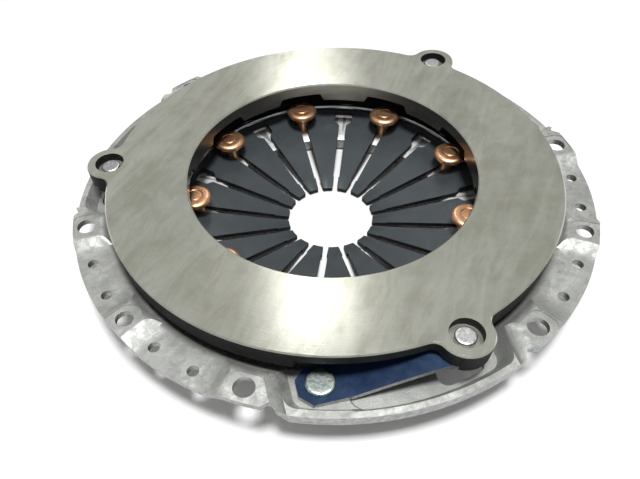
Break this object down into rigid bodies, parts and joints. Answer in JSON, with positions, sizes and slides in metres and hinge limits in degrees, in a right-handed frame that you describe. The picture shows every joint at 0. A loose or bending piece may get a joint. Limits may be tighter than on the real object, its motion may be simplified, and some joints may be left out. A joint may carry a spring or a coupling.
{
  "type": "clutch pressure plate",
  "caption": "Diaphragm-spring clutch cover: pressed steel cover, machined pressure ring on leaf straps, fingered spring held by shouldered rivets.",
  "frame": {"origin": "centre of the bolt circle, in the plane of the bolt pads that meet the flywheel", "axes": "+Z along the axis from the cover's back towards the flywheel, so the friction face is up; one strap pocket is centred on -Y"},
  "size_m": [0.253, 0.253, 0.0343],
  "materials": {
    "pressed_steel": "bare pressed steel, satin, stained",
    "machined_iron": "fine turned and ground face",
    "spring_steel": "dark blue-grey, phosphated",
    "wire": "drawn bright wire",
    "copper_plate": "copper plated, semi-gloss",
    "rivet_steel": "plain steel, satin",
    "blued_steel": "tempered blue strip with bright cut edges"
  },
  "bodies": {
    "cover_body": {"cover": "pressed_steel", "front_pivot_ring": "wire", "rear_pivot_ring": "wire", "diaphragm_spring": "spring_steel", "fulcrum_rivet_1": "copper_plate", "fulcrum_rivet_2": "copper_plate", "fulcrum_rivet_3": "copper_plate", "fulcrum_rivet_4": "copper_plate", "fulcrum_rivet_5": "copper_plate", "fulcrum_rivet_6": "copper_plate", "fulcrum_rivet_7": "copper_plate", "fulcrum_rivet_8": "copper_plate", "fulcrum_rivet_9": "copper_plate", "cover_strap_rivet_1": "rivet_steel", "cover_strap_rivet_2": "rivet_steel", "cover_strap_rivet_3": "rivet_steel", "strap_1_leaf_1": "blued_steel", "strap_1_leaf_2": "blued_steel", "strap_1_leaf_3": "blued_steel", "strap_2_leaf_1": "blued_steel", "strap_2_leaf_2": "blued_steel", "strap_2_leaf_3": "blued_steel", "strap_3_leaf_1": "blued_steel", "strap_3_leaf_2": "blued_steel", "strap_3_leaf_3": "blued_steel"},
    "ring_body": {"pressure_ring": "machined_iron", "lug_strap_rivet_1": "rivet_steel", "lug_strap_rivet_2": "rivet_steel", "lug_strap_rivet_3": "rivet_steel"}
  },
  "joints": [
    {"name": "pressure_ring_slide", "type": "slide", "parent": "cover_body", "child": "ring_body", "axis": [0, 0, 1], "range_m": [-0.005, 0], "stiffness_N_per_m": 60000, "springref_m": 0.001, "deforming": ["diaphragm_spring", "strap_1_leaf_1", "strap_1_leaf_2", "strap_1_leaf_3", "strap_2_leaf_1", "strap_2_leaf_2", "strap_2_leaf_3", "strap_3_leaf_1", "strap_3_leaf_2", "strap_3_leaf_3"]}
  ]
}
